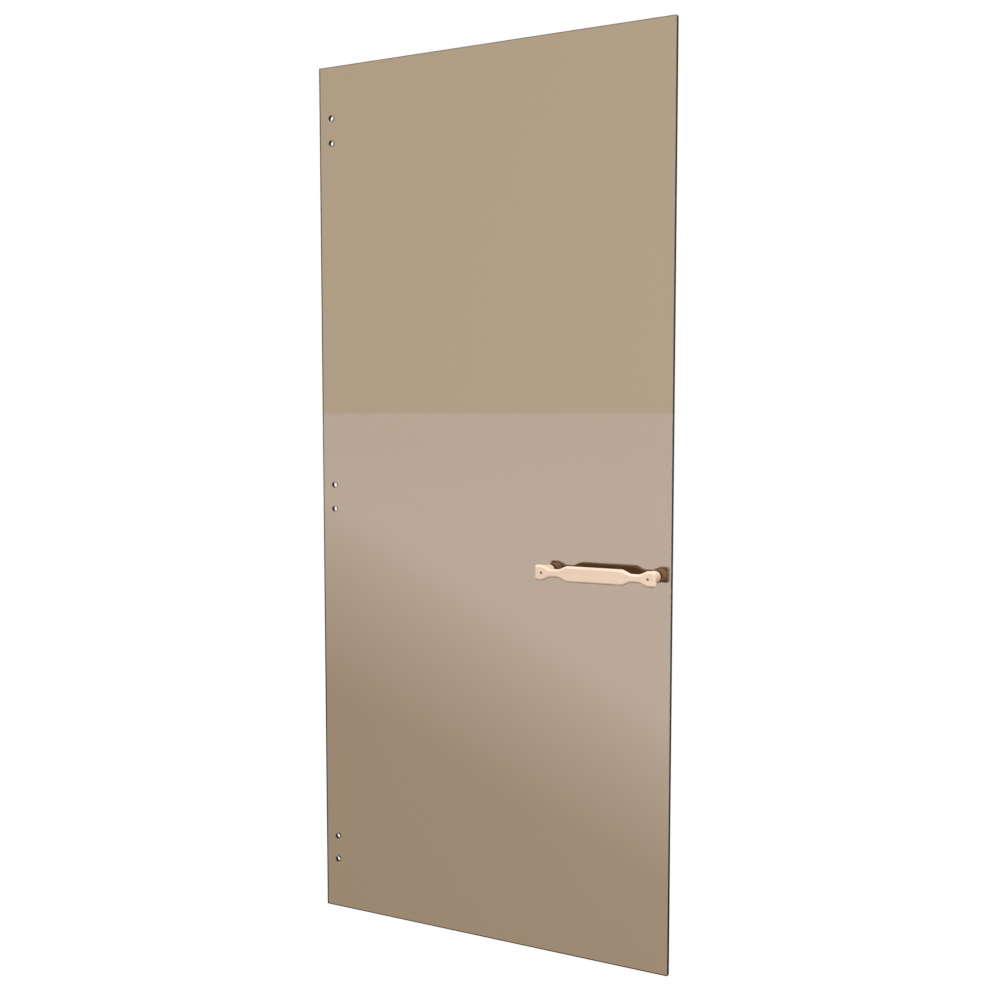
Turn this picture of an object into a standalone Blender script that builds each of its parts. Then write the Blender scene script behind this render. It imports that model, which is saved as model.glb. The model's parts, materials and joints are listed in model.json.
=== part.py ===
"""Frameless sauna door leaf: a sheet of toughened bronze glass drilled for three hinges,
with a waisted wooden grip bar on each side of it, through-bolted near the latch edge.

Metres, +Z up. The hinge edge is at -X, the latch edge at +X and the bather's side at +Y.
The origin is the middle hinge seat: the point of the front face between the middle two
hinge holes. The front face is the plane y = 0, and the glass lies behind it.
"""

import math

import bmesh
import bpy

# Glass leaf
LEAF_WIDTH = 0.822
LEAF_HEIGHT = 1.890
GLASS_THICK = 0.010
CORNER_DUB = 0.002  # radius that dulls each corner of the sheet
EDGE_ARRIS = 0.0008  # flat ground along the sheet's edges
HOLE_ARRIS = 0.0006  # flat ground round each drilled hole

# Hinge holes, in three pairs along the hinge edge
HINGE_HOLE_RADIUS = 0.006
HINGE_HOLE_INSET = 0.030  # from the hinge edge
HINGE_HOLE_PITCH = 0.054  # within a pair
HINGE_PAIR_FROM_END = 0.1375  # from the sheet's top or bottom to the pair's middle

# Place of the handle on the leaf
HANDLE_HEIGHT = 0.809  # above the bottom edge
HANDLE_INSET = 0.034  # of the outer bolt from the latch edge
BOLT_PITCH = 0.228
STANDOFF = 0.032  # from the glass to each grip bar
GLASS_BORE_RADIUS = 0.006  # holes for the two bolts

# Wooden grip bars: end blocks on the bolts, a waist inside each, a deeper middle
BAR_THICK = 0.012
BAR_OVERHANG = 0.0155  # past each bolt
END_HEIGHT = 0.032
WAIST_HEIGHT = 0.017
BODY_HEIGHT = 0.0325
END_FLAT = 0.0025  # full height of an end block goes this far past the bolt
END_SLOPE = 0.016
WAIST_LENGTH = 0.0185
BODY_SLOPE = 0.017
TIP_RADIUS = 0.0055
SHOULDER_RADIUS = 0.008
WAIST_RADIUS = 0.012
BAR_ROUND = 0.005  # rounding of the bar's long edges

# Turned wooden spacers, soft gaskets on the glass, bushes in its holes
SPACER_RADIUS = 0.013
SPACER_ROUND = 0.0015
GASKET_THICK = 0.0012
GASKET_SETBACK = 0.0008  # inside the spacer's rim

# Through screws and the sleeve nuts that take them
SCREW_RADIUS = 0.002
SCREW_HEAD_RADIUS = 0.0027
SCREW_HEAD_HEIGHT = 0.003
SCREW_SUNK = 0.0035  # head below the front bar's face
NUT_RADIUS = 0.0027
NUT_SUNK = 0.0025  # nut below the back bar's face
NUT_WEB = 0.0025  # wood left in the back bar under the nut
NUT_CAP = 0.0025  # closed outer end of the nut, with the key socket in it
SOCKET_FLATS = 0.0025  # hexagon key across its flats
SOCKET_DEPTH = 0.0018
FASTENER_CHAMFER = 0.0004

# Clearances
SEAT_GAP = 0.0003  # between faces that bear on each other
BOLT_CLEARANCE = 0.0003  # round a bolt, a head or a bush, on the radius
THREAD_GAP = 0.0002  # between screw and nut, on the radius
SCREW_END_GAP = 0.001  # screw short of the bottom of the nut's bore

# Fineness of round forms
HOLE_STEPS = 24
SPACER_STEPS = 32
FASTENER_STEPS = 20
CORNER_STEPS = 4
CUT_PAST = 0.001  # cutters run this far past what they cut
SHARP_ANGLE = math.radians(35)
THROUGH_GLASS = (-math.pi / 2, 0, 0)  # turns a piece's own Z to +Y
UPRIGHT = (math.pi / 2, 0, 0)  # stands an outline drawn in XY up in the XZ plane

# Places that follow from the sizes above
HINGE_EDGE_X = -HINGE_HOLE_INSET
LATCH_EDGE_X = HINGE_EDGE_X + LEAF_WIDTH
BOTTOM_Z = -LEAF_HEIGHT / 2
PAIR_HEIGHTS = (
    BOTTOM_Z + HINGE_PAIR_FROM_END,
    0.0,
    -BOTTOM_Z - HINGE_PAIR_FROM_END,
)
GRIP_Z = BOTTOM_Z + HANDLE_HEIGHT
BOLTS = {
    "hinge_side": LATCH_EDGE_X - HANDLE_INSET - BOLT_PITCH,
    "latch_side": LATCH_EDGE_X - HANDLE_INSET,
}
FRONT_FACE_Y = -STANDOFF - BAR_THICK  # outer face of the front grip bar
BACK_FACE_Y = GLASS_THICK + STANDOFF + BAR_THICK  # outer face of the back grip bar
SCREW_SEAT_DEPTH = SCREW_SUNK + SCREW_HEAD_HEIGHT
NUT_SEAT_DEPTH = BAR_THICK - NUT_WEB
NUT_LENGTH = NUT_SEAT_DEPTH - NUT_SUNK
NUT_BORE_DEPTH = NUT_LENGTH - NUT_CAP
BOLT_BORE_RADIUS = SCREW_RADIUS + BOLT_CLEARANCE


for old in list(bpy.data.objects):
    bpy.data.objects.remove(old)
parts = bpy.data.collections.new("sauna_door")
cutters = bpy.data.collections.new("cutters")
bpy.context.scene.collection.children.link(parts)
bpy.context.scene.collection.children.link(cutters)


def material(name, colour, roughness, metallic=0.0, transmission=0.0):
    """A Principled material with the given linear colour."""
    made = bpy.data.materials.new(name)
    made.use_nodes = True
    shader = made.node_tree.nodes["Principled BSDF"]
    shader.inputs["Base Color"].default_value = (*colour, 1.0)
    shader.inputs["Roughness"].default_value = roughness
    shader.inputs["Metallic"].default_value = metallic
    shader.inputs["Transmission Weight"].default_value = transmission
    made.diffuse_color = (*colour, 1.0 - 0.6 * transmission)
    return made


def cut(obj, cutter):
    """Takes the cutter's shape out of obj."""
    modifier = obj.modifiers.new(cutter.name, "BOOLEAN")
    modifier.operation = "DIFFERENCE"
    modifier.solver = "EXACT"
    modifier.object = cutter


def settle(obj, surface):
    """Makes obj's modifiers part of its mesh, shades it smooth between its sharp edges
    and gives it its material."""
    bpy.context.view_layer.update()
    graph = bpy.context.evaluated_depsgraph_get()
    mesh = bpy.data.meshes.new_from_object(obj.evaluated_get(graph))
    mesh.name = obj.name
    obj.modifiers.clear()
    obj.data = mesh
    mesh.shade_smooth()
    mesh.set_sharp_from_angle(angle=SHARP_ANGLE)
    mesh.materials.clear()
    mesh.materials.append(surface)


def turned(name, profile, place, ring=False, steps=FASTENER_STEPS, collection=parts):
    """A turned piece from (radius, height) points that run down its outer side.

    A ring's profile goes on up the inside of its bore. Heights run along +Y from place.
    """
    mesh = bpy.data.meshes.new(name)
    edges = [(i, i + 1) for i in range(len(profile) - 1)]
    if ring:
        edges.append((len(profile) - 1, 0))
    mesh.from_pydata([(radius, 0, height) for radius, height in profile], edges, [])
    obj = bpy.data.objects.new(name, mesh)
    obj.location = place
    obj.rotation_euler = THROUGH_GLASS
    collection.objects.link(obj)
    turn = obj.modifiers.new("turn", "SCREW")
    turn.axis = "Z"
    turn.steps = steps
    turn.render_steps = steps
    turn.use_merge_vertices = True
    turn.merge_threshold = 0.00001
    if collection is cutters:
        obj.hide_render = True
        obj.display_type = "WIRE"
    return obj


def flat_piece(name, outline, thick, place):
    """A sheet of the given outline, drawn in XY and stood up, its mid plane at place."""
    curve = bpy.data.curves.new(name, "CURVE")
    curve.dimensions = "2D"
    curve.fill_mode = "BOTH"
    curve.extrude = thick / 2
    spline = curve.splines.new("POLY")
    spline.points.add(len(outline) - 1)
    for point, (x, y) in zip(spline.points, outline):
        point.co = (x, y, 0, 1)
    spline.use_cyclic_u = True
    drawn = bpy.data.objects.new(name + "_outline", curve)
    parts.objects.link(drawn)
    bpy.context.view_layer.update()
    graph = bpy.context.evaluated_depsgraph_get()
    mesh = bpy.data.meshes.new_from_object(drawn.evaluated_get(graph))
    bpy.data.objects.remove(drawn)
    sheet = bmesh.new()
    sheet.from_mesh(mesh)
    bmesh.ops.remove_doubles(sheet, verts=sheet.verts, dist=0.00001)
    for way in (-1, 1):
        cap = [f for f in sheet.faces if all(v.co.z * way > 0 for v in f.verts)]
        bmesh.ops.dissolve_faces(sheet, faces=cap)
    bmesh.ops.recalc_face_normals(sheet, faces=sheet.faces)
    sheet.to_mesh(mesh)
    sheet.free()
    obj = bpy.data.objects.new(name, mesh)
    obj.location = place
    obj.rotation_euler = UPRIGHT
    parts.objects.link(obj)
    return obj


def round_corners(corners):
    """The outline through (x, y, radius) corners, each turned into an arc of its radius.

    An arc never takes more than 45% of the shorter side that meets it.
    """
    outline = []
    for i, (x, y, radius) in enumerate(corners):
        sides = []
        for other in (corners[i - 1], corners[(i + 1) % len(corners)]):
            length = math.hypot(other[0] - x, other[1] - y)
            sides.append(((other[0] - x) / length, (other[1] - y) / length, length))
        (ax, ay, a), (bx, by, b) = sides
        half = math.acos(max(-1.0, min(1.0, ax * bx + ay * by))) / 2
        trim = min(radius / math.tan(half), 0.45 * a, 0.45 * b)
        reach = trim / math.cos(half)
        mid_x, mid_y = ax + bx, ay + by
        mid = math.hypot(mid_x, mid_y)
        centre = (x + mid_x / mid * reach, y + mid_y / mid * reach)
        arc = trim * math.tan(half)
        first = math.atan2(y + ay * trim - centre[1], x + ax * trim - centre[0])
        last = math.atan2(y + by * trim - centre[1], x + bx * trim - centre[0])
        sweep = (last - first + math.pi) % (2 * math.pi) - math.pi
        for step in range(CORNER_STEPS + 1):
            angle = first + sweep * step / CORNER_STEPS
            outline.append(
                (centre[0] + arc * math.cos(angle), centre[1] + arc * math.sin(angle))
            )
    return outline


def round_edges(obj, width, segments):
    """Rounds the edges where the piece turns by a right angle."""
    bevel = obj.modifiers.new("edges", "BEVEL")
    bevel.limit_method = "ANGLE"
    bevel.angle_limit = math.radians(60)
    bevel.width = width
    bevel.segments = segments
    bevel.use_clamp_overlap = True


# Glass leaf


def glass_hole(name, x, z, radius):
    """The cutter for one hole through the glass, flared at both faces to its arris."""
    flare = radius + HOLE_ARRIS + CUT_PAST
    profile = [
        (0, GLASS_THICK + CUT_PAST),
        (flare, GLASS_THICK + CUT_PAST),
        (radius, GLASS_THICK - HOLE_ARRIS),
        (radius, HOLE_ARRIS),
        (flare, -CUT_PAST),
        (0, -CUT_PAST),
    ]
    return turned(name, profile, (x, 0, z), steps=HOLE_STEPS, collection=cutters)


def glass_leaf():
    half_width, half_height = LEAF_WIDTH / 2, LEAF_HEIGHT / 2
    outline = round_corners(
        [
            (-half_width, -half_height, CORNER_DUB),
            (half_width, -half_height, CORNER_DUB),
            (half_width, half_height, CORNER_DUB),
            (-half_width, half_height, CORNER_DUB),
        ]
    )
    middle = (HINGE_EDGE_X + half_width, GLASS_THICK / 2, 0)
    leaf = flat_piece("glass_leaf", outline, GLASS_THICK, middle)
    round_edges(leaf, EDGE_ARRIS, 1)
    for pair, height in zip(("bottom", "middle", "top"), PAIR_HEIGHTS):
        for end, way in (("lower", -1), ("upper", 1)):
            z = height + way * HINGE_HOLE_PITCH / 2
            name = f"hinge_hole_{pair}_{end}"
            cut(leaf, glass_hole(name, 0, z, HINGE_HOLE_RADIUS))
    for side, x in BOLTS.items():
        cut(leaf, glass_hole(f"bolt_hole_{side}", x, GRIP_Z, GLASS_BORE_RADIUS))
    bronze = material("bronze_glass", (0.40, 0.30, 0.19), 0.02, transmission=1.0)
    settle(leaf, bronze)


# Wooden grip bars


def grip_outline():
    """The bar seen from the front, about its middle: waists between the end blocks and
    the deeper middle."""
    half_pitch = BOLT_PITCH / 2
    tip = half_pitch + BAR_OVERHANG
    block = half_pitch - END_FLAT
    waist_outer = block - END_SLOPE
    waist_inner = waist_outer - WAIST_LENGTH
    body = waist_inner - BODY_SLOPE
    quarter = [
        (body, BODY_HEIGHT / 2, SHOULDER_RADIUS),
        (waist_inner, WAIST_HEIGHT / 2, WAIST_RADIUS),
        (waist_outer, WAIST_HEIGHT / 2, WAIST_RADIUS),
        (block, END_HEIGHT / 2, SHOULDER_RADIUS),
        (tip, END_HEIGHT / 2, TIP_RADIUS),
    ]
    right = quarter + [(x, -y, radius) for x, y, radius in reversed(quarter)]
    left = [(-x, -y, radius) for x, y, radius in right]
    return round_corners(right + left)


def grip_bar(name, outer_y, inward, seat_depth, head_radius, surface):
    """One bar with its two bolt bores, each wider down to the seat of head or nut."""
    middle = ((BOLTS["hinge_side"] + BOLTS["latch_side"]) / 2, outer_y, GRIP_Z)
    bar = flat_piece(name, grip_outline(), BAR_THICK, middle)
    bar.location.y += inward * BAR_THICK / 2
    round_edges(bar, BAR_ROUND, 4)
    recess = head_radius + BOLT_CLEARANCE
    far = BAR_THICK + CUT_PAST
    profile = [
        (0, inward * far),
        (BOLT_BORE_RADIUS, inward * far),
        (BOLT_BORE_RADIUS, inward * seat_depth),
        (recess, inward * seat_depth),
        (recess, -inward * CUT_PAST),
        (0, -inward * CUT_PAST),
    ]
    if inward < 0:
        profile.reverse()
    for side, x in BOLTS.items():
        place = (x, outer_y, GRIP_Z)
        cut(bar, turned(f"{name}_bore_{side}", profile, place, collection=cutters))
    settle(bar, surface)


# Spacers, gaskets and bushes: rings threaded on the bolts


def ring(name, radius, near, far, x, corner, surface, steps):
    """A turned ring on the bolt at x, from y = near to y = far, bored for the bolt.

    corner holds the (inset, height) points of its rim's corner, side first.
    """
    length = far - near
    top = [(radius - inset, length - height) for inset, height in reversed(corner)]
    bottom = [(radius - inset, height) for inset, height in corner]
    profile = [(BOLT_BORE_RADIUS, length), *top, *bottom, (BOLT_BORE_RADIUS, 0)]
    settle(turned(name, profile, (x, near, GRIP_Z), True, steps), surface)


def spacer_and_gasket(face, side, wood, rubber):
    """What stands between one bar and the glass on one bolt."""
    gasket_far = SEAT_GAP + GASKET_THICK
    spacer_near = gasket_far + SEAT_GAP
    spacer_far = STANDOFF - SEAT_GAP
    x = BOLTS[side]
    if face == "front":
        gasket = (-gasket_far, -SEAT_GAP)
        spacer = (-spacer_far, -spacer_near)
    else:
        gasket = (GLASS_THICK + SEAT_GAP, GLASS_THICK + gasket_far)
        spacer = (GLASS_THICK + spacer_near, GLASS_THICK + spacer_far)
    turns = (0, math.pi / 6, math.pi / 3, math.pi / 2)
    rounded = [
        (SPACER_ROUND * (1 - math.cos(turn)), SPACER_ROUND * (1 - math.sin(turn)))
        for turn in turns
    ]
    name = f"{face}_spacer_{side}"
    ring(name, SPACER_RADIUS, *spacer, x, rounded, wood, SPACER_STEPS)
    name = f"{face}_gasket_{side}"
    radius = SPACER_RADIUS - GASKET_SETBACK
    ring(name, radius, *gasket, x, [(0, 0)], rubber, HOLE_STEPS)


def glass_bush(side, nylon):
    """The soft sleeve that keeps the bolt off the glass."""
    radius = GLASS_BORE_RADIUS - BOLT_CLEARANCE
    name = f"glass_bush_{side}"
    chamfered = [(0, FASTENER_CHAMFER), (FASTENER_CHAMFER, 0)]
    ring(name, radius, 0, GLASS_THICK, BOLTS[side], chamfered, nylon, FASTENER_STEPS)


# Fasteners


def key_socket(name, x, outer_y, inward):
    """The cutter for a hexagon socket in a face at outer_y."""
    radius = SOCKET_FLATS / math.sqrt(3)
    profile = [
        (0, inward * SOCKET_DEPTH),
        (radius, inward * SOCKET_DEPTH),
        (radius, -inward * CUT_PAST),
        (0, -inward * CUT_PAST),
    ]
    if inward < 0:
        profile.reverse()
    place = (x, outer_y, GRIP_Z)
    return turned(name, profile, place, steps=6, collection=cutters)


def through_screw(side, steel):
    """The screw from its head in the front bar to the nut in the back bar."""
    seat = FRONT_FACE_Y + SCREW_SEAT_DEPTH - SEAT_GAP
    nut_inner = BACK_FACE_Y - NUT_SEAT_DEPTH + SEAT_GAP
    length = nut_inner + NUT_BORE_DEPTH - SCREW_END_GAP - seat
    chamfer = FASTENER_CHAMFER
    profile = [
        (0, length),
        (SCREW_RADIUS - chamfer, length),
        (SCREW_RADIUS, length - chamfer),
        (SCREW_RADIUS, 0),
        (SCREW_HEAD_RADIUS, 0),
        (SCREW_HEAD_RADIUS, chamfer - SCREW_HEAD_HEIGHT),
        (SCREW_HEAD_RADIUS - chamfer, -SCREW_HEAD_HEIGHT),
        (0, -SCREW_HEAD_HEIGHT),
    ]
    x = BOLTS[side]
    screw = turned(f"through_screw_{side}", profile, (x, seat, GRIP_Z))
    cut(screw, key_socket(f"screw_socket_{side}", x, seat - SCREW_HEAD_HEIGHT, 1))
    settle(screw, steel)


def sleeve_nut(side, steel):
    """The round nut sunk in the back bar, bored from its inner end."""
    inner = BACK_FACE_Y - NUT_SEAT_DEPTH + SEAT_GAP
    bore = SCREW_RADIUS + THREAD_GAP
    chamfer = FASTENER_CHAMFER
    profile = [
        (0, NUT_LENGTH),
        (NUT_RADIUS - chamfer, NUT_LENGTH),
        (NUT_RADIUS, NUT_LENGTH - chamfer),
        (NUT_RADIUS, 0),
        (bore, 0),
        (bore, NUT_BORE_DEPTH),
        (0, NUT_BORE_DEPTH),
    ]
    x = BOLTS[side]
    nut = turned(f"sleeve_nut_{side}", profile, (x, inner, GRIP_Z))
    cut(nut, key_socket(f"nut_socket_{side}", x, inner + NUT_LENGTH, -1))
    settle(nut, steel)


glass_leaf()

grip_wood = material("grip_wood", (0.72, 0.52, 0.38), 0.55)
screw_depth = SCREW_SEAT_DEPTH
grip_bar("front_grip", FRONT_FACE_Y, 1, screw_depth, SCREW_HEAD_RADIUS, grip_wood)
grip_bar("back_grip", BACK_FACE_Y, -1, NUT_SEAT_DEPTH, NUT_RADIUS, grip_wood)

spacer_wood = material("spacer_wood", (0.66, 0.46, 0.33), 0.6)
gasket_rubber = material("gasket_rubber", (0.26, 0.18, 0.12), 0.8)
bush_nylon = material("bush_nylon", (0.75, 0.73, 0.68), 0.5)
steel = material("fastener_steel", (0.05, 0.042, 0.035), 0.4, metallic=1.0)
for bolt_side in BOLTS:
    for glass_face in ("front", "back"):
        spacer_and_gasket(glass_face, bolt_side, spacer_wood, gasket_rubber)
    glass_bush(bolt_side, bush_nylon)
    through_screw(bolt_side, steel)
    sleeve_nut(bolt_side, steel)
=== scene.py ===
import json
import math

import bmesh
import bpy
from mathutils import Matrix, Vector

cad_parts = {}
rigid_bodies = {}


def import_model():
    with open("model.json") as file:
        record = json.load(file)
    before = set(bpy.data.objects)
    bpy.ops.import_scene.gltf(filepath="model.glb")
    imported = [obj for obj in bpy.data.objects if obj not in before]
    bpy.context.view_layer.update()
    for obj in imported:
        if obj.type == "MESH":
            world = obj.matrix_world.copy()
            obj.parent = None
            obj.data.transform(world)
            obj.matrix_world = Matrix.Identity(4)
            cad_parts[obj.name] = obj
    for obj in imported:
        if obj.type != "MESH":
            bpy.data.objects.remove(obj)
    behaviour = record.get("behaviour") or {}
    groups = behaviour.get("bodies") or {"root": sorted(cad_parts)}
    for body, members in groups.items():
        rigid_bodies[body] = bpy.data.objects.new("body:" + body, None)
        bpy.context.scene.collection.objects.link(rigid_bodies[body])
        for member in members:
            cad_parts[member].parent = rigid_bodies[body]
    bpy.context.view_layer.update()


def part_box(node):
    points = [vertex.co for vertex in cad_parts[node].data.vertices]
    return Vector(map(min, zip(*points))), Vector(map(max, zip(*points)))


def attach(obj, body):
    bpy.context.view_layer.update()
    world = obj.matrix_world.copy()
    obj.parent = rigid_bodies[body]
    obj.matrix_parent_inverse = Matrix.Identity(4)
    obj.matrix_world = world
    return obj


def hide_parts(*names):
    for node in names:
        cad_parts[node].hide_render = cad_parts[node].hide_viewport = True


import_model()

# Glass leaf
# One sheet of 10 mm float glass, tinted bronze in the melt. It was cut to size, drilled for
# three hinges and two handle bolts, its edges and holes were ground and arrised, and then
# it was toughened. Everything else on the door is bolted to it.

CORNER_DUB = 0.002
EDGE_ARRIS = 0.0008
HOLE_ARRIS = 0.0006
HOLE_RADIUS = 0.006
HINGE_HEIGHTS = (-0.8075, 0.0, 0.8075)
HINGE_PITCH = 0.054
BOLTS = {"hinge_side": 0.530, "latch_side": 0.758}
GRIP_X = sum(BOLTS.values()) / 2
GRIP_Z = -0.136
# The sheet's mesh is cut across here, so that each hole lies in faces of its own
CUT_HEIGHTS = (*HINGE_HEIGHTS, -0.65, -0.25, -0.06, 0.15, 0.65)
CUT_STATIONS = (0.05, 0.35, GRIP_X)
THROUGH = 0.02  # metres; a bit this long comes out at the other side
ALONG_Y = (math.pi / 2, 0, 0)  # lays a cylinder's axis along Y
NEAR = 1e-5  # metres; places closer than this count as the same
DOUBLES = 1e-6  # metres; points closer than this are merged
SQUARE_TURN = math.radians(60)  # faces that meet at more than this make a square edge
CURVE_TURN = math.radians(32)  # faces that meet at less than this are shaded as a curve
FACING = 0.9  # a face looks along Y if that much of its normal does
EDGE_ON = 0.1  # a face is edge-on to Y if no more of its normal looks that way


def begin(name, add, **settings):
    """Adds a primitive at its size and place, alone selected, and opens it for editing."""
    bpy.ops.object.select_all(action="DESELECT")
    add(**settings)
    piece = bpy.context.object
    piece.name = piece.data.name = name
    bpy.ops.object.transform_apply(location=True, rotation=True, scale=True)
    bpy.ops.object.mode_set(mode="EDIT")
    return piece


def pick(piece, kind, wanted):
    """Selects the vertices, edges or faces that pass the test, and nothing else."""
    bpy.ops.mesh.select_mode(type=kind)
    bpy.ops.mesh.select_all(action="DESELECT")
    mesh = bmesh.from_edit_mesh(piece.data)
    for part in {"VERT": mesh.verts, "EDGE": mesh.edges, "FACE": mesh.faces}[kind]:
        if wanted(part):
            part.select_set(True)
    mesh.select_flush_mode()
    bmesh.update_edit_mesh(piece.data)


def runs_along(edge, axis):
    """True for an edge that is parallel to the given axis, 0 to 2."""
    run = edge.verts[1].co - edge.verts[0].co
    return abs(run[axis]) > run.length - NEAR


def middle(edge):
    return (edge.verts[0].co + edge.verts[1].co) / 2


def apply_modifier(piece, name, kind, **settings):
    bpy.context.view_layer.objects.active = piece
    added = piece.modifiers.new(name, kind)
    for setting, value in settings.items():
        setattr(added, setting, value)
    bpy.ops.object.modifier_apply(modifier=name)


def drill(piece, bit):
    """Takes the bit's shape out of the piece and throws the bit away."""
    apply_modifier(piece, "drill", "BOOLEAN", object=bit, solver="EXACT")
    bpy.data.objects.remove(bit)


def reopen(piece):
    """Opens a piece for editing again, alone selected."""
    bpy.ops.object.select_all(action="DESELECT")
    piece.select_set(True)
    bpy.context.view_layer.objects.active = piece
    bpy.ops.object.mode_set(mode="EDIT")


def finish_mesh(piece, surface):
    """Closes the mesh's doubles, turns its faces outwards and shades it as a made thing:
    smooth round its curves and flat on its flats."""
    reopen(piece)
    bpy.ops.mesh.select_all(action="SELECT")
    bpy.ops.mesh.remove_doubles(threshold=DOUBLES)
    bpy.ops.mesh.normals_make_consistent(inside=False)
    bpy.ops.object.mode_set(mode="OBJECT")
    bpy.ops.object.shade_smooth_by_angle(angle=CURVE_TURN)
    apply_modifier(piece, "flats", "WEIGHTED_NORMAL", keep_sharp=True)
    piece.data.materials.clear()
    piece.data.materials.append(surface)


def fit(piece, node):
    """The piece rides on the door in place of its CAD node."""
    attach(piece, "root")
    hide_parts(node)


def linear(code):
    """An sRGB hex colour as the linear colour that Blender's sockets take."""
    shares = [int(code[i : i + 2], 16) / 255 for i in (0, 2, 4)]
    turned = [s / 12.92 if s <= 0.04045 else ((s + 0.055) / 1.055) ** 2.4 for s in shares]
    return (*turned, 1.0)


def new_material(name):
    made = bpy.data.materials.new(name)
    made.use_nodes = True
    return made, made.node_tree, made.node_tree.nodes["Principled BSDF"]


def add_node(tree, kind, inputs=(), **settings):
    """Adds a node with its settings. An input is a value or another node's output."""
    made = tree.nodes.new("ShaderNode" + kind)
    for name, value in settings.items():
        setattr(made, name, value)
    for name, value in dict(inputs).items():
        if isinstance(value, bpy.types.NodeSocket):
            tree.links.new(value, made.inputs[name])
        else:
            made.inputs[name].default_value = value
    return made


leaf_low, leaf_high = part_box("glass_leaf")
leaf = begin(
    "bronze_glass_sheet",
    bpy.ops.mesh.primitive_cube_add,
    size=1,
    location=(leaf_low + leaf_high) / 2,
    scale=leaf_high - leaf_low,
)
pick(leaf, "EDGE", lambda edge: runs_along(edge, 1))
bpy.ops.mesh.bevel(offset=CORNER_DUB, segments=6, affect="EDGES")
for height in CUT_HEIGHTS:
    bpy.ops.mesh.select_all(action="SELECT")
    bpy.ops.mesh.bisect(plane_co=(0, 0, height), plane_no=(0, 0, 1))
for x in CUT_STATIONS:
    bpy.ops.mesh.select_all(action="SELECT")
    bpy.ops.mesh.bisect(plane_co=(x, 0, 0), plane_no=(1, 0, 0))
bpy.ops.object.mode_set(mode="OBJECT")
holes = [(x, GRIP_Z) for x in BOLTS.values()]
for height in HINGE_HEIGHTS:
    holes += [(0.0, height - HINGE_PITCH / 2), (0.0, height + HINGE_PITCH / 2)]
for x, z in holes:
    bit = begin(
        "drill_bit",
        bpy.ops.mesh.primitive_cylinder_add,
        vertices=96,
        radius=HOLE_RADIUS,
        depth=THROUGH,
        location=(x, leaf_high.y / 2, z),
        rotation=ALONG_Y,
    )
    bpy.ops.object.mode_set(mode="OBJECT")
    drill(leaf, bit)


def by_hole(edge):
    """True for an edge of the sheet that lies on the rim of a drilled hole."""
    place = middle(edge)
    gaps = [math.hypot(place.x - x, place.z - z) for x, z in holes]
    return min(gaps) < HOLE_RADIUS + NEAR


def square_edge(edge):
    return len(edge.link_faces) == 2 and edge.calc_face_angle() > SQUARE_TURN


bpy.ops.object.mode_set(mode="EDIT")
pick(leaf, "EDGE", lambda edge: square_edge(edge) and not by_hole(edge))
bpy.ops.mesh.bevel(offset=EDGE_ARRIS, segments=1, affect="EDGES")
pick(leaf, "EDGE", lambda edge: square_edge(edge) and by_hole(edge))
bpy.ops.mesh.bevel(offset=HOLE_ARRIS, segments=1, affect="EDGES")
bpy.ops.object.mode_set(mode="OBJECT")


def wave_scale(spacing):
    """The Wave Texture's scale for waves this many metres apart."""
    return 2 * math.pi / (20 * spacing)


# Toughened bronze float glass: the tint is in the glass, so what is seen through it comes
# out warm and dim. The faces are fire-polished, with the long faint waves that the rollers
# of the toughening furnace leave.
glass, tree, shader = new_material("toughened_bronze_glass")
shader.inputs["Base Color"].default_value = linear("FFFFFF")
shader.inputs["Roughness"].default_value = 0.0
shader.inputs["Transmission Weight"].default_value = 1.0
shader.inputs["IOR"].default_value = 1.5
tint = add_node(tree, "VolumeAbsorption", {"Color": linear("AB8838"), "Density": 160.0})
tree.links.new(tint.outputs["Volume"], tree.nodes["Material Output"].inputs["Volume"])
place = add_node(tree, "TexCoord")
# One wave every 280 mm down the sheet, some 0.02 mm high
rollers = add_node(
    tree,
    "TexWave",
    {
        "Vector": place.outputs["Object"],
        "Scale": wave_scale(0.280),
        "Distortion": 0.6,
        "Detail": 0.0,
    },
    wave_type="BANDS",
    bands_direction="Z",
)
feel = add_node(
    tree,
    "Bump",
    {"Height": rollers.outputs["Fac"], "Strength": 1.0, "Distance": 0.00002},
)
tree.links.new(feel.outputs[0], shader.inputs["Normal"])

# The edges and the walls of the holes are ground with a diamond wheel: satin, and scored
# by fine lines along the edge. Their colour is painted light and shade: seen from outside
# they are painted dark, as the depth of the tinted glass behind them, and seen through the
# faces they are painted pale, as light coming through the ground skin. The narrow arrises
# beside them are polished, apart from those of the latch edge, which take this material
# too, so that the painted dark line along that edge is wider.
painted_ground_edge, tree, shader = new_material("ground_glass_edge_painted_light_and_shade")
shader.inputs["IOR"].default_value = 1.5
place = add_node(tree, "TexCoord")
# Lines of the wheel, 0.4 mm apart, drawn coarser than the real grit so that they show
along = add_node(
    tree,
    "Mapping",
    {"Vector": place.outputs["Object"], "Scale": (40.0, 2500.0, 40.0)},
)
scoring = add_node(
    tree, "TexNoise", {"Vector": along.outputs[0], "Scale": 1.0, "Detail": 2.0}
)
# Painted shade: the dark tone that an edge shows from outside
painted_dark_outside = add_node(
    tree,
    "Mix",
    {"Factor": scoring.outputs["Fac"], 6: linear("120F0C"), 7: linear("27211B")},
    data_type="RGBA",
)
# Painted light: the pale tone that an edge shows through the faces
inside = add_node(
    tree,
    "Mix",
    {"Factor": scoring.outputs["Fac"], 6: linear("6B6255"), 7: linear("8F8475")},
    data_type="RGBA",
)
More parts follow.
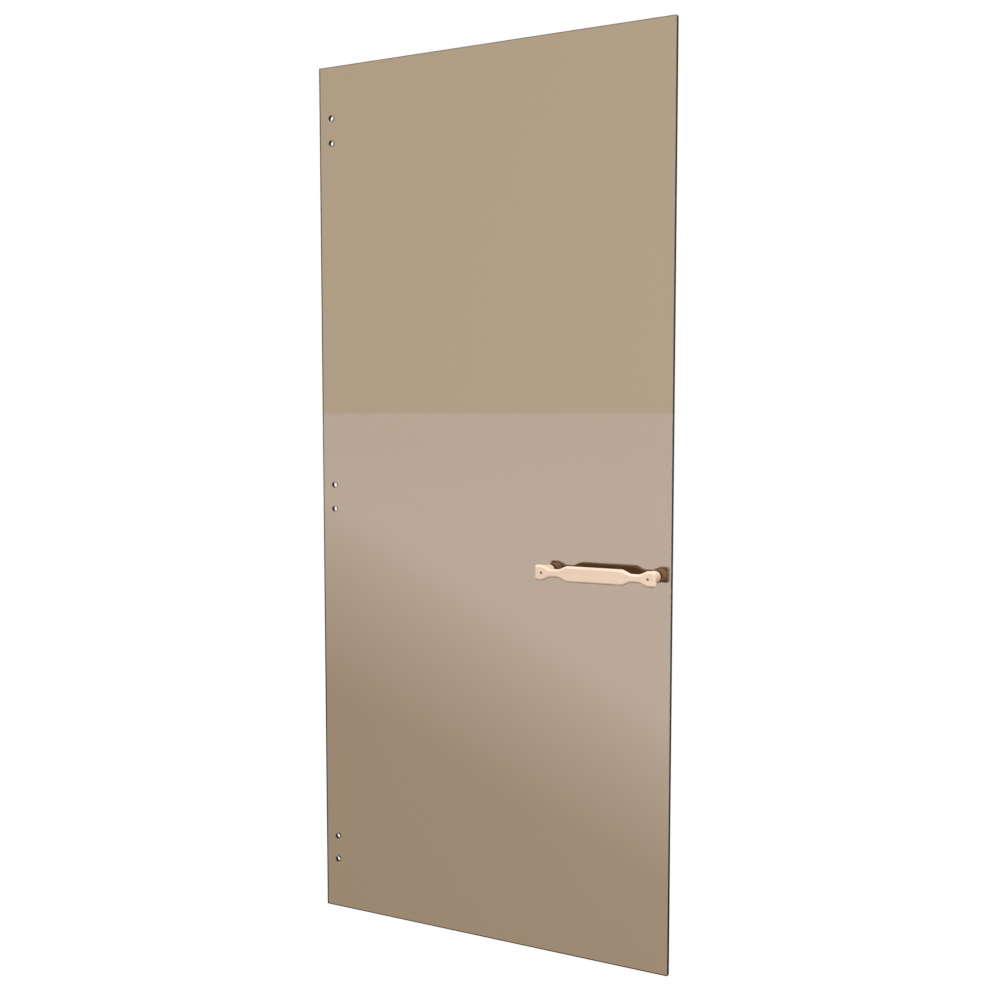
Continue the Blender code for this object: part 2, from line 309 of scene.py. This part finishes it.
# The side of the face that is seen picks the painted dark or the painted pale tone
side = add_node(tree, "NewGeometry")
tone = add_node(
    tree,
    "Mix",
    {
        "Factor": side.outputs["Backfacing"],
        6: painted_dark_outside.outputs[2],
        7: inside.outputs[2],
    },
    data_type="RGBA",
)
tree.links.new(tone.outputs[2], shader.inputs["Base Color"])
satin = add_node(
    tree, "MapRange", {"Value": scoring.outputs["Fac"], "To Min": 0.35, "To Max": 0.5}
)
tree.links.new(satin.outputs[0], shader.inputs["Roughness"])
feel = add_node(
    tree,
    "Bump",
    {"Height": scoring.outputs["Fac"], "Strength": 0.2, "Distance": 0.00005},
)
tree.links.new(feel.outputs[0], shader.inputs["Normal"])

finish_mesh(leaf, glass)
leaf.data.materials.append(painted_ground_edge)
# Along the latch edge the arrises take the ground material too, widening its painted dark
# line
for face in leaf.data.polygons:
    at_latch = face.center.x > leaf_high.x - EDGE_ARRIS
    limit = FACING if at_latch else EDGE_ON
    face.material_index = int(abs(face.normal.y) < limit)
fit(leaf, "glass_leaf")

# Grip bars
# Two bars of pale alder, one on each side of the glass. Each is sawn to its outline, with
# a waist beside each end block, rounded over along its edges, bored for its bolts and
# sanded. The bolts clamp both bars to the glass.

BODY_X, WAIST_IN_X, WAIST_OUT_X, BLOCK_X = 0.060, 0.077, 0.0955, 0.1115
BODY_HEIGHT, WAIST_HEIGHT, BLOCK_HEIGHT = 0.0325, 0.017, 0.032
SHOULDER_RADIUS, WAIST_RADIUS, TIP_RADIUS = 0.008, 0.012, 0.0055
LONG_ROUND = 0.005
RIM_ROUND = 0.0003
HEAD_RECESS, HEAD_DEPTH = 0.003, 0.0065
NUT_RECESS, NUT_DEPTH = 0.003, 0.0095
BOLT_BORE = 0.0023

bar_low, bar_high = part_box("front_grip")
bar_mid = (bar_low + bar_high) / 2
front_grip = begin(
    "front_wooden_grip",
    bpy.ops.mesh.primitive_cube_add,
    size=1,
    location=bar_mid,
    scale=bar_high - bar_low,
)
for station in (BODY_X, WAIST_IN_X, WAIST_OUT_X, BLOCK_X):
    for way in (-1, 1):
        bpy.ops.mesh.select_all(action="SELECT")
        cut_at = bar_mid + Vector((way * station, 0, 0))
        bpy.ops.mesh.bisect(plane_co=cut_at, plane_no=(1, 0, 0))


def from_middle(place):
    """How far along the bar a place is from the bar's middle."""
    return abs(place.x - bar_mid.x)


def is_waist(vertex):
    return WAIST_IN_X - NEAR < from_middle(vertex.co) < WAIST_OUT_X + NEAR


# The waists and the end blocks are squeezed to their heights, and then each corner of the
# outline is rounded by its own radius
pick(front_grip, "VERT", is_waist)
squeeze = (1, 1, WAIST_HEIGHT / BODY_HEIGHT)
bpy.ops.transform.resize(value=squeeze, center_override=bar_mid)
pick(front_grip, "VERT", lambda vertex: from_middle(vertex.co) > BLOCK_X - NEAR)
squeeze = (1, 1, BLOCK_HEIGHT / BODY_HEIGHT)
bpy.ops.transform.resize(value=squeeze, center_override=bar_mid)
pick(
    front_grip,
    "EDGE",
    lambda edge: runs_along(edge, 2) and from_middle(middle(edge)) < BLOCK_X + NEAR,
)
bpy.ops.mesh.dissolve_edges(use_verts=False)
half_length = (bar_high.x - bar_low.x) / 2
body_bend = math.atan2((BODY_HEIGHT - WAIST_HEIGHT) / 2, WAIST_IN_X - BODY_X)
block_bend = math.atan2((BLOCK_HEIGHT - WAIST_HEIGHT) / 2, BLOCK_X - WAIST_OUT_X)
for station, radius, bend in (
    (BODY_X, SHOULDER_RADIUS, body_bend),
    (WAIST_IN_X, WAIST_RADIUS, body_bend),
    (WAIST_OUT_X, WAIST_RADIUS, block_bend),
    (BLOCK_X, SHOULDER_RADIUS, block_bend),
    (half_length, TIP_RADIUS, math.pi / 2),
):
    pick(
        front_grip,
        "EDGE",
        lambda edge: runs_along(edge, 1)
        and abs(from_middle(middle(edge)) - station) < NEAR,
    )
    reach = radius * math.tan(bend / 2)
    bpy.ops.mesh.bevel(offset=reach, segments=8, affect="EDGES")
pick(front_grip, "EDGE", square_edge)
bpy.ops.mesh.bevel(offset=LONG_ROUND, segments=8, affect="EDGES")
bpy.ops.object.mode_set(mode="OBJECT")

back_grip = front_grip.copy()
back_grip.data = front_grip.data.copy()
back_grip.name = back_grip.data.name = "back_wooden_grip"
bpy.context.scene.collection.objects.link(back_grip)
back_low, back_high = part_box("back_grip")
for vertex in back_grip.data.vertices:
    vertex.co.y += (back_low - bar_low).y


def bore_bar(bar, outer_y, inward, recess, depth):
    """Bores a bar for both bolts, wider from its outer face down to the head or nut."""
    for x in BOLTS.values():
        bit = begin(
            "stepped_bit",
            bpy.ops.mesh.primitive_cylinder_add,
            vertices=64,
            radius=recess,
            depth=2 * depth,
            location=(x, outer_y, GRIP_Z),
            rotation=ALONG_Y,
        )
        pick(bit, "FACE", lambda face: face.normal.y * inward > FACING)
        bpy.ops.mesh.inset(thickness=recess - BOLT_BORE)
        onward = (0, inward * THROUGH, 0)
        bpy.ops.mesh.extrude_region_move(TRANSFORM_OT_translate={"value": onward})
        bpy.ops.object.mode_set(mode="OBJECT")
        drill(bar, bit)
    reopen(bar)
    pick(
        bar,
        "EDGE",
        lambda edge: square_edge(edge) and abs(middle(edge).y - outer_y) < NEAR,
    )
    bpy.ops.mesh.bevel(offset=RIM_ROUND, segments=3, affect="EDGES")
    bpy.ops.object.mode_set(mode="OBJECT")


bore_bar(front_grip, bar_low.y, 1, HEAD_RECESS, HEAD_DEPTH)
bore_bar(back_grip, back_high.y, -1, NUT_RECESS, NUT_DEPTH)


# How much the growth rings, the fibres and the broad bands each darken the wood, and the
# range of their sum that goes from the early wood's colour to the late wood's
RINGS_SHOW, FIBRES_SHOW, BANDS_SHOW = 0.45, 0.55, 0.7
PALEST, DARKEST = 0.35, 1.35


def sanded_wood(name, early, late, pith, turn):
    """Pale close-grained hardwood. Its growth rings run round a line along X that passes
    through pith once the mapping has turned the grain along the piece."""
    made, tree, shader = new_material(name)
    place = add_node(tree, "TexCoord")
    grain = add_node(
        tree,
        "Mapping",
        {"Vector": place.outputs["Object"], "Location": pith, "Rotation": turn},
    )
    # Growth rings 2.4 mm apart, a little wavy, which show as faint stripes and arcs
    rings = add_node(
        tree,
        "TexWave",
        {
            "Vector": grain.outputs[0],
            "Scale": wave_scale(0.0024),
            "Distortion": 2.2,
            "Detail": 2.0,
            "Detail Scale": 0.18,
            "Detail Roughness": 0.45,
        },
        wave_type="RINGS",
        rings_direction="X",
        wave_profile="SAW",
    )
    # Fibres 0.5 mm wide and some 25 mm long
    along = add_node(
        tree, "Mapping", {"Vector": grain.outputs[0], "Scale": (40.0, 1900.0, 1900.0)}
    )
    fibres = add_node(
        tree,
        "TexNoise",
        {"Vector": along.outputs[0], "Scale": 1.0, "Detail": 3.0, "Roughness": 0.6},
    )
    # Broad pale and pink bands, about a centimetre wide and some 170 mm long
    wide = add_node(
        tree, "Mapping", {"Vector": grain.outputs[0], "Scale": (6.0, 110.0, 110.0)}
    )
    bands = add_node(
        tree, "TexNoise", {"Vector": wide.outputs[0], "Scale": 1.0, "Detail": 1.0}
    )
    shade = add_node(
        tree,
        "Math",
        {0: rings.outputs["Fac"], 1: RINGS_SHOW},
        operation="MULTIPLY",
    )
    streak = add_node(
        tree,
        "Math",
        {0: fibres.outputs["Fac"], 1: FIBRES_SHOW, 2: shade.outputs[0]},
        operation="MULTIPLY_ADD",
    )
    depth = add_node(
        tree,
        "Math",
        {0: bands.outputs["Fac"], 1: BANDS_SHOW, 2: streak.outputs[0]},
        operation="MULTIPLY_ADD",
    )
    ramp = add_node(
        tree,
        "MapRange",
        {"Value": depth.outputs[0], "From Min": PALEST, "From Max": DARKEST},
    )
    colour = add_node(
        tree,
        "Mix",
        {"Factor": ramp.outputs[0], 6: linear(early), 7: linear(late)},
        data_type="RGBA",
    )
    tree.links.new(colour.outputs[2], shader.inputs["Base Color"])
    sheen = add_node(
        tree,
        "MapRange",
        {"Value": fibres.outputs["Fac"], "To Min": 0.48, "To Max": 0.66},
    )
    tree.links.new(sheen.outputs[0], shader.inputs["Roughness"])
    feel = add_node(
        tree,
        "Bump",
        {"Height": streak.outputs[0], "Strength": 0.25, "Distance": 0.0001},
    )
    tree.links.new(feel.outputs[0], shader.inputs["Normal"])
    return made


# Sanded alder, bare: pale pinkish cream, nearly matt, with its faint stripes lengthwise
alder = sanded_wood(
    "sanded_alder",
    early="F1DBC7",
    late="D7B59A",
    pith=(-0.64, 0.05, 0.19),
    turn=(0.0, 0.008, -0.006),
)
for grip, node in ((front_grip, "front_grip"), (back_grip, "back_grip")):
    finish_mesh(grip, alder)
    fit(grip, node)

# Spacers
# Four short turned posts of the same alder, threaded on the bolts, that hold the bars off
# the glass so that a hand fits behind them. Their rims are rounded on the lathe.

SPACER_RIM = 0.0007


def turned_ring(name, node, bore, steps, rim, rim_segments):
    """A ring that fills its CAD node's box, bored along Y, with its outer rims rounded."""
    low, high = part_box(node)
    radius = (high.x - low.x) / 2
    centre = (low + high) / 2
    ring = begin(
        name,
        bpy.ops.mesh.primitive_cylinder_add,
        vertices=steps,
        radius=radius,
        depth=high.y - low.y,
        location=centre,
        rotation=ALONG_Y,
    )
    pick(ring, "FACE", lambda face: abs(face.normal.y) > FACING)
    bpy.ops.mesh.inset(thickness=radius - bore)
    bpy.ops.mesh.bridge_edge_loops()

    def on_rim(edge):
        place = middle(edge) - centre
        return square_edge(edge) and math.hypot(place.x, place.z) > (radius + bore) / 2

    pick(ring, "EDGE", on_rim)
    bpy.ops.mesh.bevel(offset=rim, segments=rim_segments, affect="EDGES")
    bpy.ops.object.mode_set(mode="OBJECT")
    return ring


# The same alder turned on the lathe: its grain runs through the post, from bar to glass
turned_alder = sanded_wood(
    "turned_alder",
    early="EBD3BD",
    late="CEAA8D",
    pith=(0.015, 0.56, 0.15),
    turn=(0.0, 0.0, math.pi / 2),
)
for face in ("front", "back"):
    for side in BOLTS:
        node = f"{face}_spacer_{side}"
        name = f"{face}_turned_spacer_{side}"
        spacer = turned_ring(name, node, BOLT_BORE, 96, SPACER_RIM, 6)
        finish_mesh(spacer, turned_alder)
        fit(spacer, node)

# Gaskets
# Four soft washers of natural tan rubber, punched from sheet, that lie between the posts
# and the glass so that wood never bears on it. The bolts pull them tight.

GASKET_RIM = 0.0002
rubber, tree, shader = new_material("punched_rubber_sheet")
place = add_node(tree, "TexCoord")
# Fine grain of the calendered sheet, 0.4 mm across
grit = add_node(
    tree,
    "TexNoise",
    {"Vector": place.outputs["Object"], "Scale": 2500.0, "Detail": 2.0},
)
tone = add_node(
    tree,
    "Mix",
    {"Factor": grit.outputs["Fac"], 6: linear("84705C"), 7: linear("98836D")},
    data_type="RGBA",
)
tree.links.new(tone.outputs[2], shader.inputs["Base Color"])
dull = add_node(
    tree, "MapRange", {"Value": grit.outputs["Fac"], "To Min": 0.7, "To Max": 0.9}
)
tree.links.new(dull.outputs[0], shader.inputs["Roughness"])
feel = add_node(
    tree,
    "Bump",
    {"Height": grit.outputs["Fac"], "Strength": 0.3, "Distance": 0.00005},
)
tree.links.new(feel.outputs[0], shader.inputs["Normal"])
for face in ("front", "back"):
    for side in BOLTS:
        node = f"{face}_gasket_{side}"
        name = f"{face}_rubber_gasket_{side}"
        gasket = turned_ring(name, node, BOLT_BORE, 72, GASKET_RIM, 2)
        finish_mesh(gasket, rubber)
        fit(gasket, node)

# Bushes
# Two nylon sleeves in the bolt holes of the glass, which keep the steel off its ground
# rim. They are moulded, a push fit, and as long as the glass is thick.

BUSH_RIM = 0.0004
nylon, tree, shader = new_material("moulded_nylon")
place = add_node(tree, "TexCoord")
# Faint flow marks of the moulding, about 2 mm long
flow = add_node(
    tree,
    "TexNoise",
    {"Vector": place.outputs["Object"], "Scale": 500.0, "Detail": 2.0},
)
tone = add_node(
    tree,
    "Mix",
    {"Factor": flow.outputs["Fac"], 6: linear("D9D4C6"), 7: linear("E6E2D6")},
    data_type="RGBA",
)
tree.links.new(tone.outputs[2], shader.inputs["Base Color"])
waxy = add_node(
    tree, "MapRange", {"Value": flow.outputs["Fac"], "To Min": 0.38, "To Max": 0.52}
)
tree.links.new(waxy.outputs[0], shader.inputs["Roughness"])
for side in BOLTS:
    node = f"glass_bush_{side}"
    bush = turned_ring(f"nylon_bush_{side}", node, BOLT_BORE, 72, BUSH_RIM, 3)
    finish_mesh(bush, nylon)
    fit(bush, node)

# Screws
# Two steel screws with round socket heads, sunk in the front bar. Each runs through bar,
# post and glass into its nut, and a hexagon key tightens it.

HEAD_RADIUS, HEAD_HEIGHT = 0.0027, 0.003
SHANK_RADIUS = 0.002
SOCKET_RADIUS, SOCKET_DEPTH = 0.00144, 0.0018
TURNED_CHAMFER = 0.0004


def key_socket(piece, x, y):
    """Sinks a hexagon socket in the piece's end at y."""
    bit = begin(
        "hexagon_punch",
        bpy.ops.mesh.primitive_cylinder_add,
        vertices=6,
        radius=SOCKET_RADIUS,
        depth=2 * SOCKET_DEPTH,
        location=(x, y, GRIP_Z),
        rotation=ALONG_Y,
    )
    bpy.ops.object.mode_set(mode="OBJECT")
    drill(piece, bit)


# Dull steel with fine rings left by the lathe, its colour painted dark and slightly brown as
# shade: in the shade of its recess a head shows as a dark dot
steel, tree, shader = new_material("steel_painted_dark")
shader.inputs["Metallic"].default_value = 1.0
place = add_node(tree, "TexCoord")
# Turning marks 0.15 mm apart would not show, so they are drawn twice as coarse
marks = add_node(
    tree,
    "TexWave",
    {
        "Vector": place.outputs["Object"],
        "Scale": wave_scale(0.0003),
        "Distortion": 1.5,
    },
    wave_type="BANDS",
    bands_direction="Y",
)
bloom = add_node(
    tree,
    "TexNoise",
    {"Vector": place.outputs["Object"], "Scale": 900.0, "Detail": 3.0},
)
# Painted shade: the steel's colour, darker than bare steel
tone = add_node(
    tree,
    "Mix",
    {"Factor": bloom.outputs["Fac"], 6: linear("655B51"), 7: linear("83786C")},
    data_type="RGBA",
)
tree.links.new(tone.outputs[2], shader.inputs["Base Color"])
dull = add_node(
    tree, "MapRange", {"Value": bloom.outputs["Fac"], "To Min": 0.32, "To Max": 0.5}
)
tree.links.new(dull.outputs[0], shader.inputs["Roughness"])
feel = add_node(
    tree,
    "Bump",
    {"Height": marks.outputs["Fac"], "Strength": 0.2, "Distance": 0.00003},
)
tree.links.new(feel.outputs[0], shader.inputs["Normal"])

for side, x in BOLTS.items():
    node = f"through_screw_{side}"
    low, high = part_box(node)
    screw = begin(
        f"socket_screw_{side}",
        bpy.ops.mesh.primitive_cylinder_add,
        vertices=72,
        radius=HEAD_RADIUS,
        depth=HEAD_HEIGHT,
        location=(x, low.y + HEAD_HEIGHT / 2, GRIP_Z),
        rotation=ALONG_Y,
    )
    pick(screw, "FACE", lambda face: face.normal.y > FACING)
    bpy.ops.mesh.inset(thickness=HEAD_RADIUS - SHANK_RADIUS)
    shank = (0, high.y - low.y - HEAD_HEIGHT, 0)
    bpy.ops.mesh.extrude_region_move(TRANSFORM_OT_translate={"value": shank})
    pick(
        screw,
        "EDGE",
        lambda edge: square_edge(edge)
        and (middle(edge).y < low.y + NEAR or middle(edge).y > high.y - NEAR),
    )
    bpy.ops.mesh.bevel(offset=TURNED_CHAMFER, segments=3, affect="EDGES")
    bpy.ops.object.mode_set(mode="OBJECT")
    key_socket(screw, x, low.y)
    finish_mesh(screw, steel)
    fit(screw, node)

# Sleeve nuts
# Two round nuts of the same steel, sunk in the back bar and bored from their inner ends
# for the screws. They have the same key socket, so the back bar looks like the front one.

NUT_BORE, NUT_BORE_DEPTH = 0.0022, 0.0045
for side, x in BOLTS.items():
    node = f"sleeve_nut_{side}"
    low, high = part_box(node)
    radius = (high.x - low.x) / 2
    nut = begin(
        f"round_sleeve_nut_{side}",
        bpy.ops.mesh.primitive_cylinder_add,
        vertices=72,
        radius=radius,
        depth=high.y - low.y,
        location=(x, (low.y + high.y) / 2, GRIP_Z),
        rotation=ALONG_Y,
    )
    pick(nut, "FACE", lambda face: face.normal.y < -FACING)
    bpy.ops.mesh.inset(thickness=radius - NUT_BORE)
    bore = (0, NUT_BORE_DEPTH, 0)
    bpy.ops.mesh.extrude_region_move(TRANSFORM_OT_translate={"value": bore})
    pick(
        nut,
        "EDGE",
        lambda edge: square_edge(edge) and middle(edge).y > high.y - NEAR,
    )
    bpy.ops.mesh.bevel(offset=TURNED_CHAMFER, segments=3, affect="EDGES")
    bpy.ops.object.mode_set(mode="OBJECT")
    key_socket(nut, x, high.y)
    finish_mesh(nut, steel)
    fit(nut, node)

# Studio
# A plain white room: a pale floor just under the door, soft light from all round, a large
# soft lamp high at the front right and a weaker one behind.

WHITE = (1, 1, 1, 1)
FLOOR_GAP, FLOOR_SIZE = 0.010, 400.0
scene = bpy.context.scene
floor_z = leaf_low.z - FLOOR_GAP
bpy.ops.object.select_all(action="DESELECT")
bpy.ops.mesh.primitive_plane_add(size=FLOOR_SIZE, location=(0, 0, floor_z))
floor = bpy.context.object
floor.name = "studio_floor"
pale, tree, shader = new_material("pale_floor")
tree.nodes.remove(shader)
glow = add_node(tree, "Emission", {"Color": WHITE, "Strength": 1.0})
tree.links.new(glow.outputs[0], tree.nodes["Material Output"].inputs["Surface"])
pale.cycles.emission_sampling = "NONE"
floor.data.materials.append(pale)
floor.visible_diffuse = floor.visible_glossy = floor.visible_shadow = False

# A sheet of painted shade just above the floor, seen only by gloss, makes the floor's light
# fall off towards the door, and only the glass mirrors it. The fall starts at one line on
# the floor and is complete at another, in front and behind alike. A line's two numbers are
# shift
# and slope: it runs where |y| + slope * x + shift is zero.
FALL_STARTS = (-2.20, 1.18)
FALL_ENDS = (-0.92, 0.73)
LEAST_WIDTH = 0.02  # metres between the lines, at the least
SHADE_SHEET_SIZE, SHADE_SHEET_LIFT = 60.0, 0.001
shade_sheet_z = floor_z + SHADE_SHEET_LIFT
bpy.ops.object.select_all(action="DESELECT")
bpy.ops.mesh.primitive_plane_add(size=SHADE_SHEET_SIZE, location=(0, 0, shade_sheet_z))
painted_shade_sheet = bpy.context.object
painted_shade_sheet.name = "painted_shade_over_floor"
painted_fall_off, tree, shader = new_material("light_fall_off")
tree.nodes.remove(shader)
place = add_node(tree, "TexCoord")
parts = add_node(tree, "SeparateXYZ", {0: place.outputs["Object"]})
away = add_node(tree, "Math", {0: parts.outputs["Y"]}, operation="ABSOLUTE")
past = []
for shift, slope in (FALL_STARTS, FALL_ENDS):
    line = add_node(
        tree,
        "Math",
        {0: parts.outputs["X"], 1: slope, 2: shift},
        operation="MULTIPLY_ADD",
    )
    beyond = add_node(
        tree, "Math", {0: away.outputs[0], 1: line.outputs[0]}, operation="ADD"
    )
    past.append(beyond.outputs[0])
apart = add_node(tree, "Math", {0: past[1], 1: past[0]}, operation="SUBTRACT")
width = add_node(
    tree, "Math", {0: apart.outputs[0], 1: LEAST_WIDTH}, operation="MAXIMUM"
)
share = add_node(
    tree,
    "Math",
    {0: past[1], 1: width.outputs[0]},
    operation="DIVIDE",
    use_clamp=True,
)
# Painted shade: the sheet lets all the mirrored light through at the first line and none at
# the second
shade_sheet_shader = add_node(tree, "BsdfTransparent", {"Color": share.outputs[0]})
tree.links.new(shade_sheet_shader.outputs[0], tree.nodes["Material Output"].inputs["Surface"])
painted_shade_sheet.data.materials.append(painted_fall_off)
painted_shade_sheet.visible_camera = painted_shade_sheet.visible_diffuse = False
painted_shade_sheet.visible_transmission = painted_shade_sheet.visible_shadow = False

# The room's light. The camera sees plain white, matt surfaces get soft light from all
# round, and gloss mirrors a sky and a floor in front of the door, even sides and a dim rear.
SKY = (2.3, 2.0, 1.4, 1)
FLOOR = (3.5, 3.2, 3.15, 1)
FAR_FLOOR = (3.3, 3.0, 2.95, 1)
SIDES = (0.95, 0.93, 0.90, 1)
REAR = (0.30, 0.29, 0.28, 1)
LIGHT_BELOW, LIGHT_ABOVE = 0.25, 1.05
# Where each begins and ends, as a part of a direction of length 1: Z for the horizon and
# the floor, Y for the sides and the rear
HORIZON_HALF = 0.0015
NEAR_FLOOR_TO, FAR_FLOOR_FROM = -0.07, -0.03
FRONT_TO, SIDES_FROM = -0.72, -0.42
SIDES_TO, REAR_FROM = 0.0, 0.3
world = bpy.data.worlds.new("studio")
scene.world = world
world.use_nodes = True
tree = world.node_tree
tree.nodes.clear()
ray = add_node(tree, "LightPath")
direction = add_node(tree, "TexCoord")
parts = add_node(tree, "SeparateXYZ", {0: direction.outputs["Generated"]})
height, depth = parts.outputs["Z"], parts.outputs["Y"]
soft = add_node(
    tree,
    "MapRange",
    {
        "Value": height,
        "From Min": -1.0,
        "From Max": 1.0,
        "To Min": LIGHT_BELOW,
        "To Max": LIGHT_ABOVE,
    },
)
# Gloss mirrors the sky above the horizon, and below it the floor, which is dimmer far off
above = add_node(
    tree,
    "MapRange",
    {"Value": height, "From Min": -HORIZON_HALF, "From Max": HORIZON_HALF},
    interpolation_type="SMOOTHSTEP",
)
distant = add_node(
    tree,
    "MapRange",
    {"Value": height, "From Min": NEAR_FLOOR_TO, "From Max": FAR_FLOOR_FROM},
)
ground_light = add_node(
    tree,
    "Mix",
    {"Factor": distant.outputs[0], 6: FLOOR, 7: FAR_FLOOR},
    data_type="RGBA",
)
mirrored = add_node(
    tree,
    "Mix",
    {"Factor": above.outputs[0], 6: ground_light.outputs[2], 7: SKY},
    data_type="RGBA",
)
# It mirrors both only in front of the door. Beside them come the sides, and then the rear
aside = add_node(
    tree, "MapRange", {"Value": depth, "From Min": FRONT_TO, "From Max": SIDES_FROM}
)
in_front = add_node(
    tree,
    "Mix",
    {"Factor": aside.outputs[0], 6: mirrored.outputs[2], 7: SIDES},
    data_type="RGBA",
)
behind = add_node(
    tree, "MapRange", {"Value": depth, "From Min": SIDES_TO, "From Max": REAR_FROM}
)
around = add_node(
    tree,
    "Mix",
    {"Factor": behind.outputs[0], 6: in_front.outputs[2], 7: REAR},
    data_type="RGBA",
)
lit = add_node(
    tree,
    "Mix",
    {
        "Factor": ray.outputs["Is Glossy Ray"],
        6: soft.outputs[0],
        7: around.outputs[2],
    },
    data_type="RGBA",
)
# The camera sees white, past the door and through its glass
seen = add_node(
    tree,
    "Math",
    {0: ray.outputs["Is Camera Ray"], 1: ray.outputs["Is Transmission Ray"]},
    operation="MAXIMUM",
)
shown = add_node(
    tree,
    "Mix",
    {"Factor": seen.outputs[0], 6: lit.outputs[2], 7: WHITE},
    data_type="RGBA",
)
# What the glass lets through to the wood behind it, mostly from above: the light of a ray
# that has bounced off the wood once or more and then gone through the glass
THROUGH_LEAST, THROUGH_MOST = 1.0, 3.0
LEAST_UP_TO = -0.6  # the direction's Z
ONCE = 0.5  # a ray's count of matt bounces is over this from the first
through = add_node(
    tree,
    "MapRange",
    {
        "Value": height,
        "From Min": LEAST_UP_TO,
        "From Max": 1.0,
        "To Min": THROUGH_LEAST,
        "To Max": THROUGH_MOST,
    },
)
bounced = add_node(
    tree,
    "Math",
    {0: ray.outputs["Diffuse Depth"], 1: ONCE},
    operation="GREATER_THAN",
)
behind_glass = add_node(
    tree,
    "Math",
    {0: bounced.outputs[0], 1: ray.outputs["Is Transmission Ray"]},
    operation="MULTIPLY",
)
backdrop_light = add_node(
    tree,
    "Mix",
    {"Factor": behind_glass.outputs[0], 6: shown.outputs[2], 7: through.outputs[0]},
    data_type="RGBA",
)
backdrop = add_node(tree, "Background", {"Color": backdrop_light.outputs[2]})
add_node(tree, "OutputWorld", {"Surface": backdrop.outputs[0]})

# A dark flag beside the latch edge keeps the front lamp's light off the wood behind the
# glass. It is made by light linking, which leaves these pieces out.
flagged = bpy.data.collections.new("flagged_off")
for piece in scene.objects:
    if piece.name.startswith(("back_wooden", "back_turned")):
        flagged.objects.link(piece)
for entry in flagged.collection_objects:
    entry.light_linking.link_state = "EXCLUDE"

# Each lamp: the direction in which it hangs, seen from the grip, and its power in watts
LAMP_DISTANCE, LAMP_SIZE = 4.0, 2.0
grip_place = Vector((GRIP_X, 0.0, GRIP_Z))
for name, hangs, power in (
    ("front_lamp", (0.34, -0.40, 0.85), 145.0),
    ("back_lamp", (-0.20, 0.50, 0.84), 26.0),
):
    data = bpy.data.lights.new(name, "AREA")
    data.shape = "DISK"
    data.size = LAMP_SIZE
    data.energy = power
    lamp = bpy.data.objects.new(name, data)
    scene.collection.objects.link(lamp)
    toward = Vector(hangs).normalized()
    lamp.location = grip_place + toward * LAMP_DISTANCE
    lamp.rotation_euler = toward.to_track_quat("Z", "Y").to_euler()
    lamp.visible_camera = lamp.visible_glossy = lamp.visible_transmission = False
    if name == "front_lamp":
        lamp.light_linking.receiver_collection = flagged

# The camera stands in front and to the right, 1.13 m above the door's foot. It looks to the
# left and a little down. Angles are in degrees, and the lens and its film in millimetres.
CAMERA_PLACE = (1.5359, -2.2617, 0.1872)
CAMERA_TILT, CAMERA_TURN = 85.894, 26.349
LENS, FILM = 43.456, 36.0
FAR_ENOUGH = 3000.0  # metres; past the floor's far corners
camera = bpy.data.objects.new("camera", bpy.data.cameras.new("camera"))
scene.collection.objects.link(camera)
camera.location = CAMERA_PLACE
camera.rotation_euler = (math.radians(CAMERA_TILT), 0, math.radians(CAMERA_TURN))
camera.data.sensor_width = FILM
camera.data.lens = LENS
camera.data.clip_end = FAR_ENOUGH
scene.camera = camera

scene.view_settings.view_transform = "Standard"
scene.view_settings.look = "None"
